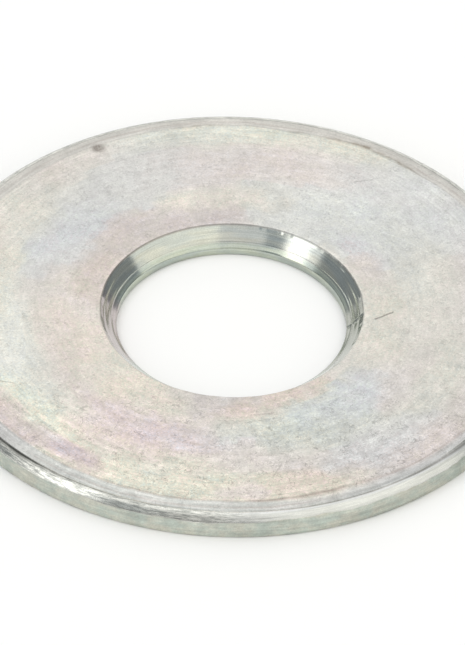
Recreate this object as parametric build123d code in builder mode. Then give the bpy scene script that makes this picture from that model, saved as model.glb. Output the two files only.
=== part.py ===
from build123d import *
from math import cos, radians, sin
import os

# Wide flat washer for an M12 bolt: one blank punched from sheet steel, deburred
# and zinc plated. Millimetres, +Z up, origin at the centre of the lower face.

os.makedirs("parts", exist_ok=True)

# ---- driving dimensions -------------------------------------------------------
outside_diameter = 35.0
hole_diameter = 13.0  # the cylindrical land, the narrowest stretch of the hole
thickness = 1.5

# The rim, from the upper face outwards and down.
face_radius = 16.16  # where the flat upper face ends and the die roll starts
roll_radius = 16.90  # where the gentle slope of the roll turns over the shoulder
roll_slope = 6.5  # degrees below horizontal, between those two radii
rim_break = 0.09  # radius of the lower outer edge, left by tumbling

# The hole, from the upper face downwards. It was punched through and its upper
# part broke away wider than the punch, so it narrows in two cones to the land.
mouth_diameter = 14.9  # at the upper face
ridge_diameter = 13.56  # the ring where the two cones meet
ridge_height = 0.71
land_top = 0.50
mouth_break = 0.07  # radius of the upper edge of the hole
land_break = 0.05  # radius of the lower edge of the hole

# ---- the section --------------------------------------------------------------
outer_r = outside_diameter / 2
land_r = hole_diameter / 2
mouth_r = mouth_diameter / 2
ridge_r = ridge_diameter / 2

slope = radians(roll_slope)
shoulder_start = (
    roll_radius,
    thickness - (roll_radius - face_radius) * sin(slope) / cos(slope),
)
# The shoulder is one arc, tangent to the roll's slope and to the upright rim.
shoulder_r = (outer_r - roll_radius) / (1 - sin(slope))

with BuildPart() as washer:
    with BuildSketch(Plane.XZ) as section:
        with BuildLine() as outline:
            under = Line((land_r, 0), (outer_r, 0))
            shoulder = JernArc(
                start=shoulder_start,
                tangent=(cos(slope), -sin(slope)),
                radius=shoulder_r,
                arc_size=-(90 - roll_slope),
            )
            rim = Line(under @ 1, shoulder @ 1)
            roll = Line(shoulder @ 0, (face_radius, thickness))
            Polyline(
                roll @ 1,
                (mouth_r, thickness),
                (ridge_r, ridge_height),
                (land_r, land_top),
                under @ 0,
            )
        make_face()
    revolve(axis=Axis.Z)

    circles = washer.edges().filter_by(GeomType.CIRCLE)
    lower = circles.group_by(Axis.Z)[0].sort_by(SortBy.RADIUS)
    upper = circles.group_by(Axis.Z)[-1].sort_by(SortBy.RADIUS)
    fillet(lower[-1], radius=rim_break)
    fillet(lower[0], radius=land_break)
    fillet(upper[0], radius=mouth_break)

washer.part.label = "washer"
washer.part.color = Color(0.78, 0.79, 0.77)
export_step(washer.part, "parts/washer.step")

box = washer.part.bounding_box()
print("shoulder radius", round(shoulder_r, 4), "rim top", round((shoulder @ 1).Y, 4))
print("box", box.min, box.max, "volume", round(washer.part.volume, 3))
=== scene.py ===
import math

import bpy
import numpy as np
from mathutils import Matrix, Vector


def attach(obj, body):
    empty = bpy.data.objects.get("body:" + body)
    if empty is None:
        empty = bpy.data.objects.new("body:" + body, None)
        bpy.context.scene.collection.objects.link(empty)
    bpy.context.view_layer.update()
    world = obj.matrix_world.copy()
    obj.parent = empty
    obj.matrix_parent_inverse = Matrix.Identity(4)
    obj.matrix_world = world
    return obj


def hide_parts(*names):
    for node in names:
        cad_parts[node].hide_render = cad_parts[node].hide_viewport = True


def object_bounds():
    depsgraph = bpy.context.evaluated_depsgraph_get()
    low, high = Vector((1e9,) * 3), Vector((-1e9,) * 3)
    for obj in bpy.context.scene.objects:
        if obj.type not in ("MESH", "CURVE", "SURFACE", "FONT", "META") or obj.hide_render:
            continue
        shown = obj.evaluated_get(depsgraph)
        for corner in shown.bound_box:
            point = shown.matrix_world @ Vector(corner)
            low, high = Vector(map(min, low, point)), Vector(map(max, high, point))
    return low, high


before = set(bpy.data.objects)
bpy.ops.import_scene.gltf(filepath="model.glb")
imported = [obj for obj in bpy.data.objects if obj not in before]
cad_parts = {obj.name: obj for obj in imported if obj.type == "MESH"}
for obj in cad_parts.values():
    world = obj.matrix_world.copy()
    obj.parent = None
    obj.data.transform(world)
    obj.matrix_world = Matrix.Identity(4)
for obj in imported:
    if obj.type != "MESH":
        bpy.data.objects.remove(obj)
cad_low, cad_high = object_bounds()

# =============================================================================
# The washer's real surface. All lengths here are millimetres; the mesh is
# written in metres. T is the angle round the axis, 0 at -Y, growing towards +X.
# =============================================================================
MM = 0.001
TAU = 2.0 * math.pi
OUTER = (cad_high.x - cad_low.x) * 500.0
THICK = (cad_high.z - cad_low.z) * 1000.0
LAND = 6.5
LAND_TOP = 0.50
RIDGE_R, RIDGE_Z = 6.78, 0.71
MOUTH_R = 7.45
FACE_R = 16.16
ROLL_R = 16.90
ROLL_SLOPE = math.radians(6.5)
RIM_BREAK = 0.09
ROLL_Z = THICK - (ROLL_R - FACE_R) * math.tan(ROLL_SLOPE)
SHOULDER = (OUTER - ROLL_R) / (1.0 - math.sin(ROLL_SLOPE))
SHOULDER_C = (OUTER - SHOULDER, ROLL_Z - SHOULDER * math.cos(ROLL_SLOPE))
ROUND = 768  # columns round the axis


def smooth(a, b, x):
    t = np.clip((x - a) / (b - a), 0.0, 1.0)
    return t * t * (3.0 - 2.0 * t)


def turn(t, centre, half, soft):
    """1 within half degrees of centre, fading to 0 over soft degrees, for an array of angles t in radians."""
    d = np.degrees(np.abs((t - math.radians(centre) + math.pi) % TAU - math.pi))
    return 1.0 - smooth(half, half + soft, d)


def ring_noise(t, s, cells, pitch, seed):
    """Value noise, about -1 to 1, periodic round the axis: cells round it, pitch mm along s."""
    t, s = np.broadcast_arrays(t, s)
    rng = np.random.default_rng(seed)
    low = float(s.min())
    rows = int((float(s.max()) - low) / pitch) + 3
    grid = rng.uniform(-1.0, 1.0, (cells, rows))
    u = (t / TAU) % 1.0 * cells
    v = (s - low) / pitch
    i, j = np.floor(u).astype(int), np.floor(v).astype(int)
    fu, fv = u - i, v - j
    fu, fv = fu * fu * (3 - 2 * fu), fv * fv * (3 - 2 * fv)
    i0, i1 = i % cells, (i + 1) % cells
    a = grid[i0, j] * (1 - fu) + grid[i1, j] * fu
    b = grid[i0, j + 1] * (1 - fu) + grid[i1, j + 1] * fu
    return a * (1 - fv) + b * fv


# ---- the section, from the lower edge of the hole round to the underside ------
points, zones = [], []


def run(zone, r, z):
    for a, b in zip(np.atleast_1d(r), np.atleast_1d(z)):
        points.append((float(a), float(b)))
        zones.append(zone)


def line(zone, a, b, n, last=False):
    f = np.linspace(0.0, 1.0, n + 1)
    f = f if last else f[:-1]
    run(zone, a[0] + (b[0] - a[0]) * f, a[1] + (b[1] - a[1]) * f)


def arc(zone, centre, radius, start, end, n):
    a = np.radians(np.linspace(start, end, n + 1)[:-1])
    run(zone, centre[0] + radius * np.cos(a), centre[1] + radius * np.sin(a))


# The upper cone isn't straight: two steeper steps run round it, where the metal
# tore. Its slope from the vertical is summed into the true line.
cone_p = np.concatenate([np.linspace(0.0, 0.82, 20), np.linspace(0.85, 1.0, 8)])
steep = (
    np.exp(-(((cone_p - 0.36) / 0.085) ** 2))
    + 0.9 * np.exp(-(((cone_p - 0.77) / 0.06) ** 2))
    + 2.0 * np.exp(-(((cone_p - 0.985) / 0.075) ** 2))
)
lean = np.tan(np.radians(42.5 - 10.0 * steep))
lean = (lean[1:] + lean[:-1]) / 2 * np.diff(cone_p)
cone_r = np.concatenate([[0.0], np.cumsum(lean)])
cone_r = MOUTH_R - 0.05 - cone_r * (MOUTH_R - 0.05 - RIDGE_R) / cone_r[-1]
cone_z = THICK - 0.06 - cone_p * (THICK - 0.06 - RIDGE_Z)

arc("land_break", (LAND + 0.05, 0.05), 0.05, 270, 180, 3)
line("land", (LAND, 0.05), (LAND, LAND_TOP), 2)
line("lower_cone", (LAND, LAND_TOP), (RIDGE_R - 0.012, RIDGE_Z - 0.02), 5)
run("ridge", [RIDGE_R - 0.004], [RIDGE_Z - 0.004])
run("upper_cone", cone_r[::-1][:-1], cone_z[::-1][:-1])
arc("mouth", (MOUTH_R + 0.035, THICK - 0.06), 0.06, 158, 90, 5)
face_stops = np.concatenate(
    [
        [MOUTH_R + 0.04, MOUTH_R + 0.09, MOUTH_R + 0.18, MOUTH_R + 0.32],
        np.linspace(MOUTH_R + 0.5, 15.3, 15),
        np.linspace(15.45, 15.95, 4),
    ]
)
run("face", face_stops, np.full(len(face_stops), THICK))
roll_stops = np.concatenate([np.arange(16.01, 16.45, 0.05), np.arange(16.47, 16.82, 0.07)])
run("roll", roll_stops, np.full(len(roll_stops), THICK))
crease = np.array([-0.06, -0.035, -0.012, 0.012, 0.035])
run("crease", ROLL_R + crease - 0.01, ROLL_Z - crease * math.tan(ROLL_SLOPE))
arc("shoulder", SHOULDER_C, SHOULDER, 81.0, 0.0, 25)
line("wall", (OUTER, SHOULDER_C[1]), (OUTER, RIM_BREAK), 4)
arc("rim_break", (OUTER - RIM_BREAK, RIM_BREAK), RIM_BREAK, 0, -90, 4)
under = np.concatenate([np.linspace(OUTER - RIM_BREAK, OUTER - 0.4, 3), np.linspace(16.0, 7.2, 4), [6.75]])
run("under", under, np.zeros(len(under)))

R = np.array([p[0] for p in points])
Z = np.array([p[1] for p in points])
zone = np.array(zones)
M = len(R)
assert 2 * M * ROUND < 200000, M
step = np.hypot(np.diff(R, append=R[:1]), np.diff(Z, append=Z[:1]))
ARC = np.concatenate([[0.0], np.cumsum(step)[:-1]])
ahead, behind = np.roll(np.arange(M), -1), np.roll(np.arange(M), 1)
dr, dz = R[ahead] - R[behind], Z[ahead] - Z[behind]
size = np.hypot(dr, dz)
NR, NZ = -dz / size, dr / size  # outward normal of the section


def at(name):
    return np.where(zone == name)[0]


crease_arc = float(ARC[at("crease")].mean()) + 0.055
shoulder_angle = np.degrees(np.arctan2(Z - SHOULDER_C[1], R - SHOULDER_C[0]))

T = (np.arange(ROUND) / ROUND * TAU)[:, None]
r = np.repeat(R[None, :], ROUND, 0)
z = np.repeat(Z[None, :], ROUND, 0)
push = np.zeros_like(r)  # along the outward normal of the section, only inwards on the box's sides
S = ARC[None, :]

# Where the flat face ends isn't a true circle: the die roll pulls it in unevenly,
# most of all on the far side, and the edge is torn on a scale of half a millimetre.
torn = 0.45 + 1.6 * turn(T, 165, 24, 14) + 0.5 * turn(T, -5, 22, 12)
face_edge = FACE_R + torn * (
    0.045 * ring_noise(T, 0, 34, 1, 11)
    + 0.034 * ring_noise(T, 0, 118, 1, 12)
    + 0.020 * ring_noise(T, 0, 330, 1, 13)
)
face_edge = face_edge + 0.10 * turn(T, 150, 5, 7) - 0.05 * turn(T, 158, 2, 3)
for j in np.concatenate([at("face"), at("roll"), at("crease")]):
    if R[j] < 15.3:
        continue
    x = (R[j] - face_edge[:, 0]) / (ROLL_R - face_edge[:, 0])
    fall = (THICK - ROLL_Z) * np.clip(x, 0.0, None)
    lip = (0.006 + 0.008 * torn[:, 0]) * smooth(0.0, 0.10, x) * (1 - smooth(0.35, 0.75, x))
    ease = 0.012 * np.exp(-np.abs(x) / 0.12)  # the corner is rounded, not sharp
    z[:, j] = THICK - fall - lip - ease * smooth(-0.4, 0.0, x)

# Slow waves in the flat face, left by rolling and punching.
flat = np.isin(zone, ["face"])
wave = (
    0.0042 * ring_noise(T, S, 21, 3.1, 21)
    + 0.0022 * ring_noise(T, S, 52, 1.3, 22)
    + 0.0008 * ring_noise(T, S, 150, 0.6, 23)
)
push += wave * flat - 0.004 * flat
# Rings turned up next to the roll on the left, where the punch dragged.
drag = turn(T, -125, 34, 16) + 0.8 * turn(T, 62, 26, 14)
push -= (
    0.0050
    * drag
    * smooth(14.4, 15.4, r)
    * flat
    * (0.5 + 0.5 * ring_noise(T, S, 40, 0.17, 24))
)

# The crease between the roll and the shoulder: a fine groove of uneven depth.
crease_mid = crease_arc + 0.040 * turn(T, -38, 22, 8) + 0.035 * turn(T, -58, 14, 8) + 0.02 * turn(T, 60, 10, 8)
crease_wide = 0.045 + 0.030 * turn(T, -60, 16, 10) + 0.020 * turn(T, 44, 6, 6) + 0.075 * turn(T, 63, 12, 10)
groove = np.exp(-(((S - crease_mid) / crease_wide) ** 2))
push -= groove * (0.020 + 0.010 * ring_noise(T, 0, 90, 1, 31) + 0.020 * turn(T, -56, 17, 12) + 0.014 * turn(T, 58, 18, 12))

# The roll on the near side: a groove at its inner edge, a low ridge, a second
# groove and a second ridge, with the first ridge moving outwards on the right.
near_side = turn(T, 0, 58, 12)
even_r = np.repeat(R[None, :], ROUND, 0) - (face_edge - FACE_R)


def ring(centre, wide):
    return np.exp(-(((even_r - centre) / wide) ** 2)) * np.isin(zone, ["face", "roll", "crease"])


groove_a = ring(16.16 + 0.11 * turn(T, 52, 12, 14) - 0.05 * turn(T, 24, 5, 6), 0.065 + 0.035 * turn(T, 22, 8, 6)) * (
    0.40 * (1 - turn(T, -54, 12, 8)) + 0.40 * turn(T, -17, 6, 7) + 0.75 * turn(T, 14, 6, 6) + 0.25 * turn(T, 26, 6, 6) + 0.2 * turn(T, 50, 12, 8)
)
ridge_b = ring(16.38 + 0.12 * turn(T, 44, 20, 14) + 0.09 * turn(T, 60, 14, 12), 0.080) * (0.30 + 0.85 * turn(T, -24, 8, 8) + 0.22 * turn(T, 10, 22, 10))
groove_c = ring(16.67, 0.055) * (0.55 * turn(T, -12, 24, 8) + 0.2 * turn(T, 20, 10, 8))
ridge_d = ring(16.80, 0.042) * 0.65 * turn(T, -8, 20, 10)
rings_down = near_side * (groove_a + groove_c) * (0.8 + 0.2 * ring_noise(T, 0, 80, 1, 71))
rings_up = near_side * (ridge_b + ridge_d) * (0.8 + 0.2 * ring_noise(T, 0, 66, 1, 75))
push += 0.0040 * (rings_up - rings_down)
push -= 0.0035 * (1 - near_side) * ring(16.52, 0.050)  # one fine groove on the far side

# The burnished band on the shoulder: scored along the rim, with short slanting
# ticks on the left, and a torn lower border where it stands above the wall.
border = (
    23.5
    + 3.2 * ring_noise(T, 0, 96, 1, 41)
    + 2.4 * ring_noise(T, 0, 260, 1, 42)
    - 2.0 * turn(T, -35, 12, 8)
    - 2.5 * turn(T, 0, 7, 5)
    + 7.0 * turn(T, 13, 4, 5)
    + 16.0 * turn(T, 62, 9, 9)
)
on_shoulder = np.isin(zone, ["shoulder"])
theta = np.repeat(shoulder_angle[None, :], ROUND, 0)
band = on_shoulder * smooth(-1.2, 1.2, theta - border) * (1 - smooth(76, 82, theta))
below = (on_shoulder * (1 - smooth(-1.2, 1.2, theta - border))) + np.isin(zone, ["wall", "rim_break"])
front = turn(T, -2, 26, 12)
ticks = turn(T, -47, 12, 7)
score = 0.74 * ring_noise(T, S, 54, 0.060, 43) + 0.26 * ring_noise(T, S, 190, 0.050, 44)
calm = 1 - 0.72 * turn(T, 52, 40, 14)
push += band * (score * calm - 0.9) * (0.0030 + 0.0022 * front)
push += band * ticks * 0.0075 * (ring_noise(T + 0.11 * S, S, 400, 0.34, 45) - 0.8)
lumps = ring_noise(T, S, 240, 0.13, 46)
push -= band * turn(T, 0, 9, 4) * 0.008 * smooth(0.15, 0.75, lumps) * (1 - smooth(34, 44, theta))
scored = turn(T, -8, 14, 7) * (np.exp(-(((theta - 44) / 4.0) ** 2)) + 0.9 * np.exp(-(((theta - 25.5) / 3.0) ** 2))) * on_shoulder
scored = scored * (0.85 + 0.3 * ring_noise(T, 0, 48, 1, 49))
push -= 0.006 * scored
push -= below * 0.010 * np.exp(-np.clip(border - theta, 0, None) / 14.0) * on_shoulder
push -= below * 0.0016 * (2 + ring_noise(T, S, 44, 0.8, 47) + ring_noise(T, 0, 520, 1, 48))

# The hole. Fine rings run round both cones, and a few nicks cross its mouth.
bore = np.isin(zone, ["upper_cone", "lower_cone", "ridge", "land"])
push += bore * 0.0011 * ring_noise(T, S, 10, 0.045, 51)
push += np.isin(zone, ["upper_cone"]) * 0.0036 * ring_noise(T, S, 9, 0.21, 52)
push += np.isin(zone, ["lower_cone"]) * 0.0028 * ring_noise(T, S, 8, 0.15, 53)
mouth = np.isin(zone, ["mouth"]) + 0.6 * np.isin(zone, ["upper_cone"]) * (z > THICK - 0.16)
push -= mouth * (
    0.012
    + 0.010 * ring_noise(T, 0, 60, 1, 54)
    + 0.012 * ring_noise(T, 0, 170, 1, 55) * (0.5 + turn(T, 120, 50, 20))
).clip(0)
# One score down the wall of the hole on the right, slanting.
slant = np.radians(89.5) + (THICK - z) * -0.022
across = ((T - slant + math.pi) % TAU - math.pi) * 7.0
push -= np.isin(zone, ["upper_cone", "lower_cone", "ridge", "mouth"]) * 0.035 * np.exp(-((across / 0.085) ** 2))

r += push * NR[None, :]
z += push * NZ[None, :]

# A shallow pit near the rim on the far left, and the two largest dents.
X, Y = r * np.sin(T), -r * np.cos(T)
top = np.isin(zone, ["face", "roll"])
for px, py, wide, deep in (
    (-7.93, 13.85, 0.46, 0.050),
    (-13.9, -4.2, 0.22, 0.012),
    (4.6, -10.6, 0.20, 0.010),
    (9.3, 9.6, 0.18, 0.010),
):
    dist = np.hypot(X - px, (Y - py)) / wide
    z -= top * deep * (1 - smooth(0.25, 1.0, dist))

# Nothing leaves the CAD box.
r = np.minimum(r, OUTER)
z = np.clip(z, 0.0, THICK)
high = z[:, at("face")].max()
z[:, top] += (THICK - high) * smooth(16.6, 15.6, r[:, top])
X, Y = r * np.sin(T), -r * np.cos(T)

verts = np.stack([X, Y, z], 2).reshape(-1, 3) * MM
cols = np.arange(ROUND)
nxt = (cols + 1) % ROUND
a = (cols[:, None] * M + np.arange(M)[None, :]).ravel()
b = (nxt[:, None] * M + np.arange(M)[None, :]).ravel()
c = (nxt[:, None] * M + ahead[None, :]).ravel()
d = (cols[:, None] * M + ahead[None, :]).ravel()
quads = np.stack([a, d, c, b], 1)  # counterclockwise seen from outside

mesh = bpy.data.meshes.new("washer_surface")
mesh.vertices.add(len(verts))
mesh.vertices.foreach_set("co", verts.astype(np.float32).ravel())
mesh.loops.add(quads.size)
mesh.loops.foreach_set("vertex_index", quads.astype(np.int32).ravel())
mesh.polygons.add(len(quads))
mesh.polygons.foreach_set("loop_start", (np.arange(len(quads)) * 4).astype(np.int32))
mesh.polygons.foreach_set("use_smooth", np.ones(len(quads), bool))
mesh.update(calc_edges=True)
mesh.validate()
washer = bpy.data.objects.new("washer_plated", mesh)
bpy.context.scene.collection.objects.link(washer)

# ---- what the surface is like at each vertex -----------------------------------
# The passivation film on the flat face: spots of one thickness each, blended. The
# phase runs through the film's colours: 0 yellow, .14 orange, .28 pink, .42 lilac,
# .55 blue, .68 cyan, .82 green, .93 yellow-green, 1 yellow again.
SPOTS = [  # angle, radius / 17.27, phase, strength, tone, spread in mm
    (-22, 0.86, 0.95, 1.1, 1.085, 1.6),
    (-8, 0.86, 0.99, 1.2, 1.070, 1.5),
    (-10, 0.77, 1.00, 0.7, 1.010, 1.3),
    (-47, 0.80, 0.90, 1.2, 1.115, 1.3),
    (-48, 0.71, 0.94, 0.7, 1.040, 1.0),
    (-76, 0.725, 0.80, 0.40, 1.120, 1.6),
    (-36, 0.873, 0.37, 2.4, 0.740, 0.58),
    (-30, 0.900, 0.12, 1.0, 0.990, 0.7),
    (-46, 0.89, 0.30, 0.8, 0.930, 0.8),
    (-55, 0.90, 0.20, 0.9, 0.950, 0.9),
    (-28, 0.76, 0.17, 1.1, 1.030, 1.4),
    (-36, 0.72, 0.24, 0.9, 1.020, 1.1),
    (-20, 0.645, 0.34, 1.0, 1.005, 1.5),
    (-38, 0.655, 0.28, 0.8, 1.005, 1.3),
    (-3, 0.655, 0.38, 0.8, 0.985, 1.1),
    (-30, 0.53, 1.04, 0.9, 1.035, 1.5),
    (-52, 0.52, 1.05, 0.8, 1.040, 1.6),
    (-20, 0.49, 1.03, 0.8, 1.020, 1.1),
    (-78, 0.56, 1.14, 0.7, 1.005, 1.6),
    (-95, 0.62, 1.10, 0.5, 1.000, 1.5),
    (14, 0.885, 1.07, 1.7, 0.985, 1.1),
    (3, 0.89, 0.30, 0.6, 0.960, 0.7),
    (12, 0.62, 0.86, 0.7, 0.905, 1.6),
    (26, 0.66, 0.80, 0.6, 0.925, 1.5),
    (8, 0.74, 0.22, 0.4, 0.970, 1.4),
    (36, 0.60, 0.64, 0.80, 0.945, 1.2),
    (44, 0.57, 0.56, 0.75, 0.950, 1.0),
    (30, 0.555, 0.70, 0.9, 0.950, 0.9),
    (18, 0.485, 1.13, 1.1, 0.915, 0.9),
    (5, 0.50, 1.17, 1.1, 0.920, 0.8),
    (-7, 0.465, 0.42, 0.4, 0.840, 0.9),
    (-10, 0.51, 0.40, 0.7, 0.930, 0.7),
    (-115, 0.64, 0.57, 0.65, 0.950, 1.5),
    (-124, 0.66, 0.60, 0.50, 0.955, 1.2),
    (-150, 0.49, 1.26, 0.55, 0.875, 1.1),
    (-168, 0.49, 1.32, 0.55, 0.870, 1.0),
    (-132, 0.48, 1.15, 0.65, 0.900, 1.0),
    (-110, 0.48, 1.14, 0.74, 0.885, 1.0),
    (-168, 0.55, 1.02, 0.72, 1.035, 0.9),
    (176, 0.56, 1.06, 0.6, 1.010, 1.0),
    (146, 0.60, 0.72, 0.40, 1.035, 1.8),
    (158, 0.52, 0.70, 0.35, 1.020, 1.0),
    (134, 0.66, 0.66, 0.49, 1.035, 1.5),
    (124, 0.53, 0.54, 0.9, 0.975, 0.9),
    (116, 0.52, 1.12, 0.7, 0.960, 0.9),
    (162, 0.90, 0.95, 0.8, 1.045, 1.4),
    (176, 0.90, 0.92, 0.8, 1.055, 1.3),
    (-170, 0.90, 0.90, 0.65, 1.065, 1.3),
    (-176, 0.76, 0.30, 0.43, 1.005, 1.8),
    (164, 0.78, 0.22, 0.5, 1.005, 1.8),
    (148, 0.80, 0.58, 0.28, 1.020, 1.5),
    (130, 0.82, 0.62, 0.42, 1.020, 1.5),
    (-150, 0.76, 0.62, 0.22, 0.975, 2.0),
    (-140, 0.87, 1.12, 0.43, 0.965, 1.2),
    (-120, 0.83, 0.97, 0.50, 1.005, 1.6),
    (-108, 0.86, 1.12, 0.58, 1.005, 1.4),
    (-92, 0.80, 0.98, 0.7, 1.030, 1.6),
    (48, 0.90, 0.24, 0.6, 0.912, 1.2),
    (58, 0.88, 0.20, 0.5, 0.930, 1.2),
    (42, 0.82, 0.52, 0.4, 0.947, 1.6),
    (62, 0.74, 0.94, 0.5, 0.957, 1.7),
    (70, 0.62, 1.10, 0.3, 0.952, 1.8),
    (56, 0.66, 0.36, 0.5, 0.947, 1.3),
    (88, 0.55, 1.00, 0.6, 0.957, 1.6),
    (100, 0.70, 1.06, 0.3, 0.985, 2.0),
    (112, 0.64, 0.80, 0.4, 0.975, 1.6),
    (95, 0.86, 0.30, 0.3, 0.985, 1.8),
]
vx, vy, vr = X.ravel(), Y.ravel(), r.ravel()
vt = (T * np.ones_like(r)).ravel()
total = np.full(vx.shape, 1e-3)
wave_x = np.full(vx.shape, 1e-3)
wave_y = np.zeros(vx.shape)
strength = np.full(vx.shape, 0.35e-3)
tone = np.full(vx.shape, 1.0e-3)
warp_x = 0.55 * ring_noise(T, S, 60, 1.1, 61).ravel() + 0.22 * ring_noise(T, S, 160, 0.4, 62).ravel()
warp_y = 0.55 * ring_noise(T, S, 60, 1.1, 63).ravel() + 0.22 * ring_noise(T, S, 160, 0.4, 64).ravel()
for angle, rad, phase, power, light, spread in SPOTS:
    rad = rad * 17.27
    along = ((vt - math.radians(angle) + math.pi) % TAU - math.pi) * rad + 1.6 * warp_x
    across = vr - rad + 0.6 * warp_y
    d2 = (along / (1.75 * spread)) ** 2 + (across / (0.66 * spread)) ** 2
    w = np.exp(-0.8 * d2) + 0.012 / (1 + d2)
    total += w
    wave_x += w * math.cos(TAU * phase) * power
    wave_y += w * math.sin(TAU * phase) * power
    strength += w * power
    tone += w * light
film = (np.arctan2(wave_y, wave_x) / TAU) % 1.0
strength = np.hypot(wave_x, wave_y) / total * 0.75 + strength / total * 0.25
tone = tone / total
shoulder_v = np.isin(np.tile(zone, ROUND), ["shoulder"]) * 1.0
high_part = smooth(46, 66, theta)
# The band's tone along the rim. Its darkening at the top beside the crease, on the left and the right, and in the
# scored grooves is painted shade.
band_tone_and_shade = (
    1.0
    - 0.06 * turn(T, 13, 5, 5)
    - 0.05 * turn(T, 44, 5, 6)
    - 0.10 * turn(T, 62, 11, 8)
    + 0.16 * turn(T, -7, 5, 5) * smooth(58, 66, theta)
    - high_part * (0.36 * turn(T, -54, 10, 6) + 0.26 * turn(T, -38, 4, 4) + 0.04 * turn(T, 33, 5, 5) + 0.20 * turn(T, 56, 12, 8))
    - 0.24 * scored
    - 0.05 * (1 - band) * (1 - turn(T, -4, 28, 8))
)
tone = tone * (1 - shoulder_v) + shoulder_v * band_tone_and_shade.ravel()

zone_v = np.tile(zone, ROUND)
on_face = np.isin(zone_v, ["face"]) * 1.0
edge_v = np.repeat(face_edge[:, 0], M)
fade = (turn(T, 34, 18, 10) * np.ones_like(r)).ravel()  # the film runs on over the roll here
past = smooth(-0.05 - 0.10 * fade, 0.12 + 0.42 * fade, vr - edge_v) * np.isin(zone_v, ["face", "roll", "crease"])
below_v = below.ravel()
band_v = band.ravel()
bore_v = np.isin(zone_v, ["upper_cone", "lower_cone", "ridge", "land", "land_break"]) * 1.0
pit_v = (1 - smooth(0.35, 1.05, np.hypot(vx + 7.93, vy - 13.85) / 0.50)) * np.isin(zone_v, ["face", "roll"])
# Painted shade in the crease between the roll and the shoulder, heaviest on the left and the right.
crease_shade_v = (
    groove
    * (
        0.42
        + 0.62 * turn(T, -58, 18, 8)
        + 0.42 * turn(T, -32, 9, 6)
        + 0.16 * turn(T, -16, 5, 5)
        + 0.28 * turn(T, 22, 6, 6)
        + 0.10 * turn(T, 34, 5, 6)
        + 0.10 * turn(T, 46, 6, 6)
        + 0.38 * turn(T, 62, 12, 8)
        - 0.15 * turn(T, 0, 10, 5)
        + 0.25 * ring_noise(T, 0, 70, 1, 32)
    )
).clip(0, 1.3).ravel()
low_v = np.isin(zone_v, ["lower_cone", "land", "land_break"]) * 1.0
under_v = np.isin(zone_v, ["under"]) * 1.0
arc_v = np.tile(ARC, ROUND)


def attribute(name, values):
    layer = mesh.attributes.new(name, "FLOAT", "POINT")
    layer.data.foreach_set("value", np.asarray(values, np.float32).ravel())


attribute("film_x", np.cos(TAU * film))
attribute("film_y", np.sin(TAU * film))
attribute("film_amount", strength * np.where(under_v > 0, 0.6, 1.0))
attribute("tone", tone)
attribute("roll", past)
attribute("wall", below_v)
attribute("band", band_v)
attribute("bore", bore_v)
attribute("lower_bore", low_v)
attribute("crease", crease_shade_v)
attribute("pit", pit_v)
attribute("section", arc_v)
attribute("calm", (turn(T, 50, 40, 14) * np.ones_like(r)).ravel())
beside = vr - edge_v
on_top = np.isin(zone_v, ["face", "roll", "crease"]) * 1.0
thin = 0.6 + 0.4 * ring_noise(T, 0, 80, 1, 71)
away_v = ((1 - near_side) * np.ones_like(r)).ravel()
# Painted shade and highlight along the roll: on the far side, painted shade along the face's edge and along the fine
# groove at 16.52 mm, with a painted highlight between them; on the near side, painted shade in the roll's grooves and
# painted highlight on its ridges.
far_edge_shade = on_top * (0.28 * np.exp(-(((beside - 0.03) / 0.042) ** 2)) + 0.55 * np.exp(-(((beside - 0.36) / 0.05) ** 2))) * (thin * np.ones_like(r)).ravel()
attribute("groove_shade", away_v * far_edge_shade + rings_down.ravel())
attribute("ridge_highlight", on_top * away_v * 0.3 * np.exp(-(((beside - 0.17) / 0.06) ** 2)) + rings_up.ravel())
mouth_v = np.isin(zone_v, ["mouth"]) * 1.0
# Painted shade on the rounded edge of the hole over its far half.
attribute("mouth_far_shade", mouth_v * (turn(T, 178, 72, 12) * np.ones_like(r)).ravel())
# Painted highlight: a pale line on the face just outside the hole, round its far side.
attribute("mouth_face_highlight", np.isin(zone_v, ["face"]) * np.exp(-(((vr - 7.56) / 0.07) ** 2)) * ((turn(T, 165, 85, 20)) * smooth(-0.5, 0.6, ring_noise(T, 0, 210, 1, 74)) * np.ones_like(r)).ravel())
# Painted highlight on the rounded edge of the hole at the right.
attribute("mouth_right_highlight", mouth_v * (turn(T, 92, 34, 14) * (0.5 + 0.5 * ring_noise(T, 0, 120, 1, 72)) * np.ones_like(r)).ravel())
stain = (turn(T, 151, 7, 6) + 0.55 * turn(T, 172, 16, 8) * smooth(-0.1, 0.5, ring_noise(T, 0, 90, 1, 73))) * np.ones_like(r)
attribute("stain", on_top * stain.ravel() * np.exp(-(((beside - 0.04) / 0.16) ** 2)))
attribute("far_side", (turn(T, 180, 50, 40) * np.ones_like(r)).ravel())
# Painted shade on the wall of the hole: darker at the right, and darker with a mauve tint at the left.
attribute("bore_shade_right", (turn(T, 76, 20, 12) * np.ones_like(r)).ravel())
attribute("bore_shade_left", (turn(T, -80, 18, 10) * np.ones_like(r)).ravel())

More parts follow.
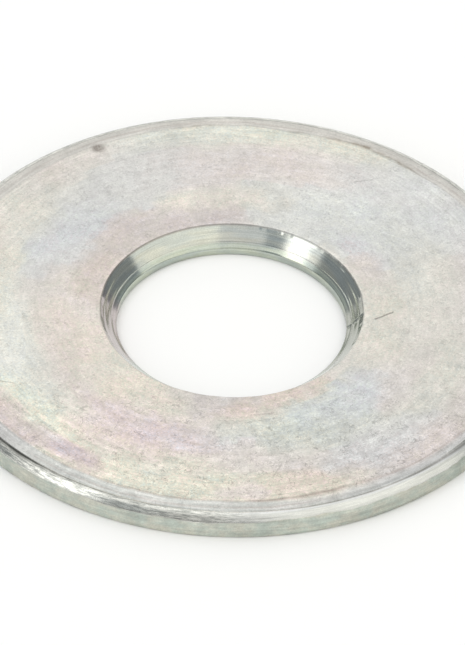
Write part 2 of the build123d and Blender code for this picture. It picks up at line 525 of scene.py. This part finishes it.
# ---- the map the surface is unrolled on -----------------------------------------
# Two discs, the upper face and the underside, and strips for the rim and the hole.
PX = 1.0 / 1024.0
up_r, down_r = 0.333, 0.217
up_c = (up_r + 2 * PX, up_r + 2 * PX)
down_c = (1 - down_r - 2 * PX, 0.878 - down_r - 2 * PX)
is_up = np.isin(zone, ["mouth", "face", "roll", "crease"]) | ((zone == "shoulder") & (shoulder_angle > 42))
is_down = zone == "under"
face_kind = np.where(is_up, 0, np.where(is_down, 1, np.where(np.isin(zone, ["shoulder", "wall", "rim_break"]), 2, 3)))
shoulder_last = np.where(is_up)[0].max()
map_u, map_v = np.zeros((ROUND, M, 4)), np.zeros((ROUND, M, 4))
corner_col = np.stack([cols, cols, cols + 1, cols + 1], 1)[:, None, :]
corner_row = np.stack([np.arange(M), ahead, ahead, np.arange(M)], 1)[None, :, :]
Tc = corner_col / ROUND * TAU + 0.0 * corner_row
Rc = r[(corner_col % ROUND) + 0 * corner_row, corner_row + 0 * corner_col]
arc_next = np.concatenate([ARC, [ARC[-1] + step[-1]]])
row_arc = np.stack([ARC, ARC + step, ARC + step, ARC], 1)[None, :, :] + 0.0 * corner_col
for kind in range(4):
    rows = face_kind == kind
    if kind in (0, 1):
        k = (up_r if kind == 0 else down_r) / (OUTER + 0.02)
        cx, cy = up_c if kind == 0 else down_c
        map_u[:, rows] = (cx + k * Rc * np.sin(Tc))[:, rows]
        map_v[:, rows] = (cy - k * Rc * np.cos(Tc) * (1 if kind == 0 else -1))[:, rows]
    else:
        parts = 3 if kind == 2 else 2
        base = 0.886
        lo_arc = ARC[rows].min()
        hi_arc = (ARC + step)[rows].max()
        f = (row_arc - lo_arc) / (hi_arc - lo_arc)
        part = np.minimum((cols * parts) // ROUND, parts - 1)[:, None, None] + 0 * corner_row
        start = np.ceil(part * ROUND / parts)
        count = np.ceil((part + 1) * ROUND / parts) - start
        g = (corner_col - start) / count
        if kind == 2:
            u = 0.003 + 0.994 * g
            v = base + part * 0.0268 + f * 0.0238
        else:
            u = 0.003 + (part + g) * 0.4955 + part * 0.003
            v = 0.9675 + f * 0.030
        map_u[:, rows] = u[:, rows]
        map_v[:, rows] = v[:, rows]
layer = mesh.uv_layers.new(name="OFBake")
layer.uv.foreach_set("vector", np.stack([map_u, map_v], 3).astype(np.float32).ravel())


# =============================================================================
# Material: bright zinc plating with a thin passivation film.
# =============================================================================
class Net:
    """A short way to write node trees."""

    def __init__(self, tree):
        self.tree = tree
        tree.nodes.clear()

    def new(self, kind, **props):
        n = self.tree.nodes.new(kind)
        for k, v in props.items():
            setattr(n, k, v)
        return n

    def put(self, socket, value):
        if hasattr(value, "is_output"):
            self.tree.links.new(value, socket)
        elif value is not None:
            socket.default_value = value

    def math(self, op, a, b=None, c=None, clamp=False):
        n = self.new("ShaderNodeMath", operation=op, use_clamp=clamp)
        self.put(n.inputs[0], a)
        self.put(n.inputs[1], b)
        self.put(n.inputs[2], c)
        return n.outputs[0]

    def vec(self, op, a, b=None, scale=None):
        n = self.new("ShaderNodeVectorMath", operation=op)
        self.put(n.inputs[0], a)
        if b is not None:
            self.put(n.inputs[1], b)
        if scale is not None:
            self.put(n.inputs["Scale"], scale)
        return n.outputs["Value"] if op in ("DOT_PRODUCT", "LENGTH", "DISTANCE") else n.outputs["Vector"]

    def join(self, x, y, z):
        n = self.new("ShaderNodeCombineXYZ")
        for s, v in zip(n.inputs, (x, y, z)):
            self.put(s, v)
        return n.outputs[0]

    def split(self, v):
        n = self.new("ShaderNodeSeparateXYZ")
        self.put(n.inputs[0], v)
        return n.outputs

    def noise(self, vector, scale, detail=2.0, rough=0.5, distort=0.0):
        n = self.new("ShaderNodeTexNoise", noise_dimensions="3D")
        self.put(n.inputs["Vector"], vector)
        self.put(n.inputs["Scale"], scale)
        self.put(n.inputs["Detail"], detail)
        self.put(n.inputs["Roughness"], rough)
        self.put(n.inputs["Distortion"], distort)
        return n.outputs["Fac"]

    def cells(self, vector, scale, feature="F1"):
        n = self.new("ShaderNodeTexVoronoi", feature=feature)
        self.put(n.inputs["Vector"], vector)
        self.put(n.inputs["Scale"], scale)
        return n.outputs

    def span(self, v, a, b, c=0.0, d=1.0, soft=True):
        n = self.new("ShaderNodeMapRange", interpolation_type="SMOOTHSTEP" if soft else "LINEAR")
        for s, x in zip(n.inputs[:5], (v, a, b, c, d)):
            self.put(s, x)
        return n.outputs[0]

    def mix(self, f, a, b):
        n = self.new("ShaderNodeMix", data_type="RGBA")
        self.put(n.inputs[0], f)
        self.put(n.inputs[6], a)
        self.put(n.inputs[7], b)
        return n.outputs[2]

    def blend(self, f, a, b):
        n = self.new("ShaderNodeMix", data_type="FLOAT")
        self.put(n.inputs[0], f)
        self.put(n.inputs[2], a)
        self.put(n.inputs[3], b)
        return n.outputs[0]

    def ramp(self, f, stops):
        n = self.new("ShaderNodeValToRGB")
        e = n.color_ramp.elements
        while len(e) < len(stops):
            e.new(0.5)
        for s, (p, c) in zip(e, stops):
            s.position, s.color = p, (*c, 1.0)
        self.put(n.inputs[0], f)
        return n.outputs[0]

    def attr(self, name):
        return self.new("ShaderNodeAttribute", attribute_name=name).outputs["Fac"]


def linear(rgb):
    return tuple((c / 255 / 12.92) if c / 255 <= 0.04045 else ((c / 255 + 0.055) / 1.055) ** 2.4 for c in rgb)


def metal(rgb, k=0.985):
    """The reflectance that shows as this colour under the studio light."""
    return tuple(min(c * k, 0.98) for c in linear(rgb))


mat = bpy.data.materials.new("zinc_plated_steel")
mat.use_nodes = True
g = Net(mat.node_tree)
out = g.new("ShaderNodeOutputMaterial")
shader = g.new("ShaderNodeBsdfPrincipled")
g.tree.links.new(shader.outputs[0], out.inputs["Surface"])
coords = g.new("ShaderNodeTexCoord")
P = g.vec("SCALE", coords.outputs["Object"], scale=1000.0)  # millimetres
px_, py_, pz_ = g.split(P)
flatP = g.join(px_, py_, 0.0)
radius = g.vec("LENGTH", flatP)
around = g.vec("NORMALIZE", flatP)
section = g.attr("section")


def ringwise(per_turn, per_mm, shift=0.0):
    """Coordinates stretched round the axis."""
    ax, ay, _ = g.split(around)
    return g.join(
        g.math("MULTIPLY", ax, per_turn),
        g.math("MULTIPLY", ay, per_turn),
        g.math("MULTIPLY_ADD", section, per_mm, shift),
    )


roll_m, wall_m, band_m = g.attr("roll"), g.attr("wall"), g.attr("band")
bore_m, low_m, crease_shade_m, pit_m = g.attr("bore"), g.attr("lower_bore"), g.attr("crease"), g.attr("pit")

# -- film colours
smear = g.noise(ringwise(8.0, 3.4, 6.6), 1.0, 4.0, 0.62)
fine = g.noise(P, 5.5, 3.0, 0.6)
finer = g.noise(P, 13.0, 2.0, 0.6)
broad = g.noise(P, 0.9, 3.0, 0.55, 0.4)
phase0 = g.math("ARCTAN2", g.attr("film_y"), g.attr("film_x"))
phase0 = g.math("DIVIDE", phase0, TAU)
wob = g.math("MULTIPLY_ADD", fine, 0.46, -0.23)
wob = g.math("ADD", wob, g.math("MULTIPLY_ADD", finer, 0.40, -0.20))
wob = g.math("ADD", wob, g.math("MULTIPLY_ADD", smear, 0.34, -0.17))
wob = g.math("ADD", wob, g.math("MULTIPLY_ADD", broad, 0.30, -0.15))
phase = g.math("FRACT", g.math("ADD", g.math("ADD", phase0, wob), 2.0))
BASE = 205.5


def tint(dr_, dg_, db_, gain=1.04):
    return metal((BASE + gain * dr_, BASE + gain * dg_, BASE + gain * db_))


FILM = [
    (0.00, tint(7, 3.5, -11)),
    (0.14, tint(11, -1, -10)),
    (0.28, tint(9.5, -4, -5)),
    (0.42, tint(4, -4, 1)),
    (0.55, tint(-4, -1, 6)),
    (0.68, tint(-5, 2.5, 3)),
    (0.82, tint(-2, 4, -3)),
    (0.93, tint(3, 4.5, -8)),
    (1.00, tint(7, 3.5, -11)),
]
film_c = g.ramp(phase, FILM)
neutral = (*tint(3.0, 1.2, -3.3, 1.0), 1.0)
amount = g.math("MULTIPLY", g.attr("film_amount"), g.span(g.noise(P, 0.55, 2.0, 0.5), 0.30, 0.66, 0.72, 1.15))
amount = g.math("MULTIPLY", amount, 1.0, clamp=True)
face_c = g.mix(amount, neutral, film_c)

# -- grey ring of the roll, the scored band, the dull wall and the hole
roll_c = g.mix(g.noise(ringwise(9.0, 3.0, 3.7), 1.0, 3.0, 0.6), (*metal((172, 176, 176)), 1), (*metal((201, 202, 200)), 1))
roll_c = g.mix(g.math("MULTIPLY", amount, 0.22), roll_c, film_c)
band_n = g.noise(ringwise(26.0, 15.0, 1.3), 1.0, 3.0, 0.65)
band_c = g.mix(g.span(band_n, 0.36, 0.62), (*metal((166, 168, 163)), 1), (*metal((222, 222, 215)), 1))
wall_n = g.noise(ringwise(14.0, 1.6, 5.1), 1.0, 3.0, 0.6)
wall_c = g.mix(g.span(wall_n, 0.35, 0.65), (*linear((189, 197, 189)), 1), (*linear((205, 205, 194)), 1))
bore_n = g.noise(ringwise(3.2, 2.2, 8.3), 1.0, 2.0, 0.5)
bore_c = g.mix(g.span(bore_n, 0.35, 0.65), (*metal((196, 201, 197)), 1), (*metal((207, 208, 198)), 1))
low_c = g.mix(g.span(bore_n, 0.35, 0.65), (*metal((186, 194, 187)), 1), (*metal((197, 203, 188)), 1))
bore_c = g.mix(low_m, bore_c, low_c)
# Painted shade: the wall of the hole darker at the right, darker and mauve at the left.
bore_c = g.mix(g.attr("bore_shade_right"), bore_c, (*metal((182, 184, 176)), 1))
bore_c = g.mix(g.attr("bore_shade_left"), bore_c, (*metal((194, 186, 184)), 1))

mottle_s = g.noise(P, 2.1, 3.0, 0.6)
base = g.mix(roll_m, face_c, roll_c)
base = g.mix(g.math("MULTIPLY", roll_m, g.math("MULTIPLY", g.attr("far_side"), 0.60)), base, (*metal((199, 194, 186)), 1))
calm_m = g.attr("calm")
band_even = g.mix(g.noise(ringwise(7.0, 6.0, 2.9), 1.0, 2.0, 0.5), (*metal((211, 213, 211)), 1), (*metal((231, 232, 231)), 1))
band_c = g.mix(g.math("MULTIPLY", calm_m, 0.88), band_c, band_even)
base = g.mix(band_m, base, band_c)
base = g.mix(wall_m, base, wall_c)
base = g.mix(bore_m, base, bore_c)
# Painted shade in the roll's grooves and along the face's edge, warm grey.
base = g.mix(g.math("MULTIPLY", g.attr("groove_shade"), 0.55), base, (*metal((205, 186, 178)), 1))
base = g.mix(g.math("MULTIPLY", g.math("MULTIPLY", pit_m, g.span(fine, 0.30, 0.62, 0.66, 1.0)), 0.88), base, (*linear((148, 141, 135)), 1))
base = g.mix(g.math("MULTIPLY", g.attr("stain"), g.span(mottle_s, 0.38, 0.60, 0.25, 0.85)), base, (*linear((150, 142, 130)), 1))
# Painted shade on the far half of the hole's rounded edge.
base = g.mix(g.math("MULTIPLY", g.attr("mouth_far_shade"), 0.55), base, (*linear((120, 122, 118)), 1))
# Painted highlight on the rounded edge of the hole at the right.
base = g.mix(g.math("MULTIPLY", g.attr("mouth_right_highlight"), 0.7), base, (*metal((238, 238, 232)), 1))
# Painted shade: the crease darkened nearly to black.
base = g.mix(g.math("MULTIPLY", crease_shade_m, 0.72, clamp=True), base, (*linear((72, 75, 72)), 1))

# -- brightness: the broad tone, grain, rolling streaks, painted shade in the grooves and painted highlight on the ridges of the roll, painted highlight round the hole, specks
# On the shoulder this tone carries the band's painted shade.
tone_a = g.blend(bore_m, g.attr("tone"), 1.0)
grain = g.noise(P, 8.5, 2.0, 0.65)
streak = g.noise(ringwise(5.0, 7.5), 1.0, 3.0, 0.6)
near_rim = g.span(radius, 13.6, 16.0)
mottle = g.noise(P, 1.3, 5.0, 0.74, 0.2)
close = g.span(py_, -4.0, -11.0)  # the near side is more worn
even_m = g.math("MULTIPLY", band_m, g.blend(calm_m, 0.35, 0.85))
rough_metal = g.math("MULTIPLY", g.blend(bore_m, 1.0, 0.2), g.math("SUBTRACT", 1.0, even_m))
level = g.math("MULTIPLY_ADD", g.math("SUBTRACT", grain, 0.5), g.math("MULTIPLY", rough_metal, 0.36), 1.0)
level = g.math("MULTIPLY", level, g.math("MULTIPLY_ADD", g.math("SUBTRACT", mottle, 0.5), g.math("MULTIPLY", rough_metal, g.blend(close, 0.42, 0.72)), 1.0))
level = g.math("MULTIPLY", level, g.math("MULTIPLY_ADD", g.math("SUBTRACT", smear, 0.5), g.math("MULTIPLY", rough_metal, g.blend(close, 0.26, 0.50)), 1.0))
level = g.math("MULTIPLY", level, g.math("MULTIPLY_ADD", g.math("SUBTRACT", finer, 0.5), g.blend(even_m, 0.36, 0.06), 1.0))
level = g.math("MULTIPLY", level, g.math("MULTIPLY_ADD", g.math("SUBTRACT", streak, 0.5), g.blend(near_rim, 0.14, 0.50), 1.0))
level = g.math("MULTIPLY", level, g.math("MULTIPLY", g.math("MULTIPLY_ADD", broad, 0.16, 0.92), g.math("MULTIPLY_ADD", g.noise(P, 0.30, 2.0, 0.5), 0.26, 0.87)))
level = g.math("MULTIPLY", level, tone_a)
# Painted shade in the roll's grooves, painted highlight on its ridges.
level = g.math("MULTIPLY", level, g.math("MULTIPLY_ADD", g.attr("groove_shade"), -0.34, 1.0))
level = g.math("MULTIPLY", level, g.math("MULTIPLY_ADD", g.attr("ridge_highlight"), 0.26, 1.0))
# Painted highlight along the far edge of the hole.
level = g.math("MULTIPLY", level, g.math("MULTIPLY_ADD", g.attr("mouth_face_highlight"), 0.16, 1.0))

# Specks: small dents, each a shallow dip in the relief with painted shade in it.
speck = g.cells(P, 2.3)
speck_size = g.noise(g.vec("SCALE", speck["Position"], scale=1.0), 3.1, 0.0)
speck_m = g.math("MULTIPLY", g.span(speck["Distance"], 0.02, 0.13, 1.0, 0.0), g.span(speck_size, 0.50, 0.62))
level = g.math("MULTIPLY", level, g.math("MULTIPLY_ADD", speck_m, -0.17, 1.0))


def hairlines(angle, per_long, per_wide, cut, shift):
    """Short thin scratches in one direction."""
    ca, sa = math.cos(math.radians(angle)), math.sin(math.radians(angle))
    u = g.math("ADD", g.math("MULTIPLY", px_, ca * per_long), g.math("MULTIPLY", py_, sa * per_long))
    v = g.math("ADD", g.math("MULTIPLY", px_, -sa * per_wide), g.math("MULTIPLY", py_, ca * per_wide))
    n = g.noise(g.join(u, v, shift), 1.0, 1.0, 0.5, 0.35)
    return g.span(n, cut - 0.03, cut + 0.09)


dark_hair = g.math("MAXIMUM", hairlines(8, 0.75, 9.0, 0.735, 1.0), hairlines(-28, 0.9, 10.0, 0.745, 9.0))
dark_hair = g.math("MAXIMUM", dark_hair, hairlines(64, 1.1, 10.0, 0.755, 17.0))
pale_hair = g.math("MAXIMUM", hairlines(33, 0.7, 10.0, 0.74, 27.0), hairlines(-62, 0.9, 11.0, 0.75, 33.0))


def stroke(x0, y0, x1, y1, width, shift=0.0):
    """A single scratch between two points of the face."""
    wobble = g.vec("SCALE", g.vec("SUBTRACT", mark_wobble, (0.5, 0.5, 0.5)), scale=0.10)
    here = g.vec("ADD", flatP, wobble)
    pa = g.vec("SUBTRACT", here, (x0, y0, 0.0))
    ba = (x1 - x0, y1 - y0, 0.0)
    h = g.math("DIVIDE", g.vec("DOT_PRODUCT", pa, ba), ba[0] ** 2 + ba[1] ** 2, clamp=True)
    away = g.vec("LENGTH", g.vec("SUBTRACT", pa, g.vec("SCALE", ba, scale=h)))
    return g.span(away, width * 0.35, width, 1.0, 0.0)


colour_noise = g.new("ShaderNodeTexNoise")
g.put(colour_noise.inputs["Vector"], flatP)
colour_noise.inputs["Scale"].default_value = 3.0
mark_wobble = colour_noise.outputs["Color"]

def curls(scale, shift, width, warp):
    """Thin curled lines: the level lines of a warped noise, broken up by another."""
    n = g.noise(g.vec("ADD", P, (shift, -shift, 0.0)), scale, 1.0, 0.5, warp)
    near_line = g.span(g.math("ABSOLUTE", g.math("SUBTRACT", n, 0.5)), 0.0, width, 1.0, 0.0)
    return g.math("MULTIPLY", near_line, g.span(g.noise(g.vec("ADD", P, (0.0, shift, 0.0)), 1.3, 2.0, 0.6), 0.47, 0.56))


# Curled scratches: the dark lines are shallow grooves in the relief with painted shade in them, the pale lines are
# painted highlight.
dark_curl = g.math("MAXIMUM", curls(2.2, 4.0, 0.030, 0.9), curls(3.6, 11.0, 0.028, 0.7))
pale_curl = g.math("MAXIMUM", curls(2.6, 21.0, 0.035, 0.9), curls(4.2, 29.0, 0.030, 0.7))

dark_marks = None
for depth, *spec in (
    (1.5, 8.10, -0.50, 9.00, 0.04, 0.080),
    (1.5, 9.00, 0.02, 9.10, 0.16, 0.060),
    (0.5, 1.40, -8.92, 2.36, -8.78, 0.10),
    (0.4, 1.15, -9.50, 2.26, -9.28, 0.10),
    (0.6, 2.55, -13.98, 2.96, -13.02, 0.065),
    (0.7, 6.82, 11.40, 7.82, 11.66, 0.065),
    (1.0, -12.95, -6.58, -12.10, -6.76, 0.065),
):
    m = g.math("MULTIPLY", stroke(*spec), depth)
    dark_marks = m if dark_marks is None else g.math("MAXIMUM", dark_marks, m)
pale_marks = None
for spec in (
    (-0.13, 7.96, 0.9, 8.2, 0.07),
    (0.9, 8.2, 1.74, 8.65, 0.06),
    (12.6, 4.3, 9.4, 6.6, 0.05),
    (9.4, 6.6, 8.0, 7.2, 0.05),
    (4.1, 10.2, 5.0, 10.3, 0.05),
):
    m = stroke(*spec)
    pale_marks = m if pale_marks is None else g.math("MAXIMUM", pale_marks, m)

flat_m = g.math("SUBTRACT", 1.0, g.math("MAXIMUM", g.math("MAXIMUM", bore_m, wall_m), band_m), clamp=True)
upper_m = g.math("MULTIPLY", flat_m, g.span(pz_, 0.6, 0.9))
dark_all = g.math("MULTIPLY", g.math("MAXIMUM", g.math("MULTIPLY", dark_hair, 0.30), dark_marks), upper_m)
pale_all = g.math("MULTIPLY", g.math("MAXIMUM", g.math("MULTIPLY", pale_hair, 0.5), pale_marks), upper_m)
curl_m = g.math("MULTIPLY", g.math("MULTIPLY", upper_m, g.blend(close, 0.55, 1.0)), g.blend(roll_m, 1.0, 0.5))
level = g.math("MULTIPLY", level, g.math("MULTIPLY_ADD", g.math("MULTIPLY", dark_curl, curl_m), -0.33, 1.0))
level = g.math("MULTIPLY", level, g.math("MULTIPLY_ADD", g.math("MULTIPLY", pale_curl, curl_m), 0.19, 1.0))
level = g.math("MULTIPLY", level, g.math("MULTIPLY_ADD", dark_all, -0.30, 1.0))
ring_fine = g.noise(ringwise(1.7, 17.0, 12.2), 1.0, 2.0, 0.6)
level = g.math("MULTIPLY", level, g.math("MULTIPLY_ADD", g.math("MULTIPLY", g.math("SUBTRACT", ring_fine, 0.5), bore_m), 0.55, 1.0))
level = g.math("MULTIPLY", level, g.math("MULTIPLY_ADD", pale_all, 0.09, 1.0))
colour = g.vec("SCALE", base, scale=level)
g.put(shader.inputs["Base Color"], colour)
shader.inputs["Metallic"].default_value = 1.0

# -- roughness
rough = g.math("MULTIPLY_ADD", fine, 0.16, 0.30)
rough = g.blend(roll_m, rough, 0.30)
rough = g.blend(band_m, rough, g.math("MULTIPLY_ADD", band_n, -0.22, 0.34))
rough = g.blend(wall_m, rough, 0.46)
rough = g.blend(bore_m, rough, g.math("MULTIPLY_ADD", bore_n, 0.10, 0.09))
rough = g.blend(pit_m, rough, 0.55)
g.put(shader.inputs["Roughness"], rough)

# -- fine relief, in millimetres
height = g.math("MULTIPLY", grain, 0.0042)
height = g.math("ADD", height, g.math("MULTIPLY", finer, 0.0016))
height = g.math("ADD", height, g.math("MULTIPLY", streak, 0.0022))
height = g.math("MULTIPLY", height, g.math("MULTIPLY", g.blend(bore_m, 1.0, 0.12), g.math("SUBTRACT", 1.0, g.math("MULTIPLY", even_m, 0.85))))
height = g.math("ADD", height, g.math("MULTIPLY", g.math("MULTIPLY", band_n, band_m), g.blend(calm_m, 0.0060, 0.0010)))
height = g.math("SUBTRACT", height, g.math("MULTIPLY", dark_all, 0.0080))
height = g.math("SUBTRACT", height, g.math("MULTIPLY", g.math("MULTIPLY", speck_m, flat_m), 0.0030))
height = g.math("ADD", height, g.math("MULTIPLY", g.math("MULTIPLY", ring_fine, bore_m), 0.0026))
height = g.math("SUBTRACT", height, g.math("MULTIPLY", g.math("MULTIPLY", dark_curl, curl_m), 0.0035))
bump = g.new("ShaderNodeBump")
bump.inputs["Strength"].default_value = 1.0
bump.inputs["Distance"].default_value = MM
g.put(bump.inputs["Height"], height)
g.put(shader.inputs["Normal"], bump.outputs[0])
mesh.materials.append(mat)

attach(washer, "root")
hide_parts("washer")

# =============================================================================
# Stage: a pale floor and a soft white studio, with one brighter panel and five
# darker ones that stand still in the world.
# =============================================================================
side = 1.2
floor_mesh = bpy.data.meshes.new("floor")
floor_mesh.from_pydata(
    [(-side, -side, -2e-5), (side, -side, -2e-5), (side, side, -2e-5), (-side, side, -2e-5)], [], [(0, 1, 2, 3)]
)
floor = bpy.data.objects.new("floor", floor_mesh)
bpy.context.scene.collection.objects.link(floor)
floor_mat = bpy.data.materials.new("pale_floor")
floor_mat.use_nodes = True
floor_bsdf = floor_mat.node_tree.nodes["Principled BSDF"]
floor_bsdf.inputs["Base Color"].default_value = (0.95, 0.95, 0.955, 1)
floor_bsdf.inputs["Roughness"].default_value = 0.9
floor_bsdf.inputs["Specular IOR Level"].default_value = 0.1
floor_mesh.materials.append(floor_mat)

world = bpy.data.worlds.new("studio")
bpy.context.scene.world = world
world.use_nodes = True
w = Net(world.node_tree)
w_out = w.new("ShaderNodeOutputWorld")
direction = w.new("ShaderNodeTexCoord").outputs["Generated"]
dx_, dy_, dz_ = w.split(direction)
elev = w.math("MULTIPLY", w.math("ARCSINE", dz_), 180.0 / math.pi)
# A panel is placed by the way a polished surface must face to show it from the
# front, 41 degrees up: its azimuth (0 towards -Y, growing towards +X) and its tilt
# above the horizon. Both are those of the direction halfway to that viewpoint.
FRONT = (0.0, -math.cos(math.radians(41.0)), math.sin(math.radians(41.0)))
halfway = w.vec("NORMALIZE", w.vec("ADD", direction, FRONT))
hx_, hy_, hz_ = w.split(halfway)
level_dir = w.vec("NORMALIZE", w.join(hx_, hy_, 0.0))
tilt = w.math("MULTIPLY", w.math("ARCSINE", hz_), 180.0 / math.pi)


def panel(azimuth, half, soft, low, high, soft_e):
    a = math.radians(azimuth)
    dot = w.vec("DOT_PRODUCT", level_dir, (math.sin(a), -math.cos(a), 0.0))
    off = w.math("MULTIPLY", w.math("ARCCOSINE", w.math("MINIMUM", dot, 0.99999)), 180.0 / math.pi)
    m = w.span(off, half - soft, half + soft, 1.0, 0.0)
    m = w.math("MULTIPLY", m, w.span(tilt, low - soft_e, low + soft_e))
    return w.math("MULTIPLY", m, w.span(tilt, high - soft_e, high + soft_e, 1.0, 0.0))


glow = w.span(elev, 0.0, 60.0, 1.04, 1.20)
left_dark = panel(-62.5, 18.5, 2.0, -100, 57, 4)
right_dark = panel(67.5, 15.5, 1.2, -100, 58, 4)
front_dark = panel(-19.8, 4.8, 1.4, -100, 52, 4)
for m_, dark in (
    (left_dark, 0.70),
    (right_dark, 0.74),
    (front_dark, 0.56),
    (panel(-4, 11, 1.2, -100, 56, 4), 0.24),
    (panel(-9, 16, 1.5, -100, 31, 4), 0.25),
):
    glow = w.math("MULTIPLY", glow, w.math("MULTIPLY_ADD", m_, -dark, 1.0))
glow = w.math("ADD", glow, w.math("MULTIPLY", panel(-31.8, 5.8, 2.2, 22, 65, 4), 1.00))
cool = w.math("MAXIMUM", left_dark, w.math("MAXIMUM", right_dark, front_dark))
warm = panel(29.5, 22.5, 2.0, 20, 66, 5)
sky = w.mix(warm, (1.0, 0.998, 0.99, 1.0), (1.0, 0.99, 0.92, 1.0))
sky = w.mix(cool, sky, (0.93, 1.0, 1.04, 1.0))
seen = w.new("ShaderNodeLightPath").outputs["Is Camera Ray"]
glow = w.blend(seen, glow, 0.98)
sky = w.mix(seen, sky, (1.0, 1.0, 1.0, 1.0))
background = w.new("ShaderNodeBackground")
w.put(background.inputs["Color"], sky)
w.put(background.inputs["Strength"], glow)
w.tree.links.new(background.outputs[0], w_out.inputs["Surface"])

# ---- camera ---------------------------------------------------------------------
lift, roll = math.radians(41.0), math.radians(1.49)
back = Vector((0.0, -math.cos(lift), math.sin(lift)))
side_v, up_v = Vector((1, 0, 0)), Vector((0, math.sin(lift), math.cos(lift)))
cam_x = side_v * math.cos(roll) + up_v * math.sin(roll)
cam_y = -side_v * math.sin(roll) + up_v * math.cos(roll)
target = Vector((0.000055, 0.000515, 0.00007))
place = target + back * 0.567
cam_data = bpy.data.cameras.new("camera")
cam_data.sensor_width = 36.0
cam_data.lens = 10034.0 * 36.0 / 645.0
cam_data.clip_start, cam_data.clip_end = 0.01, 10.0
camera = bpy.data.objects.new("camera", cam_data)
bpy.context.scene.collection.objects.link(camera)
camera.matrix_world = Matrix(
    (
        (cam_x.x, cam_y.x, back.x, place.x),
        (cam_x.y, cam_y.y, back.y, place.y),
        (cam_x.z, cam_y.z, back.z, place.z),
        (0, 0, 0, 1),
    )
)
bpy.context.scene.camera = camera
bpy.context.scene.view_settings.view_transform = "Standard"
bpy.context.scene.view_settings.look = "None"
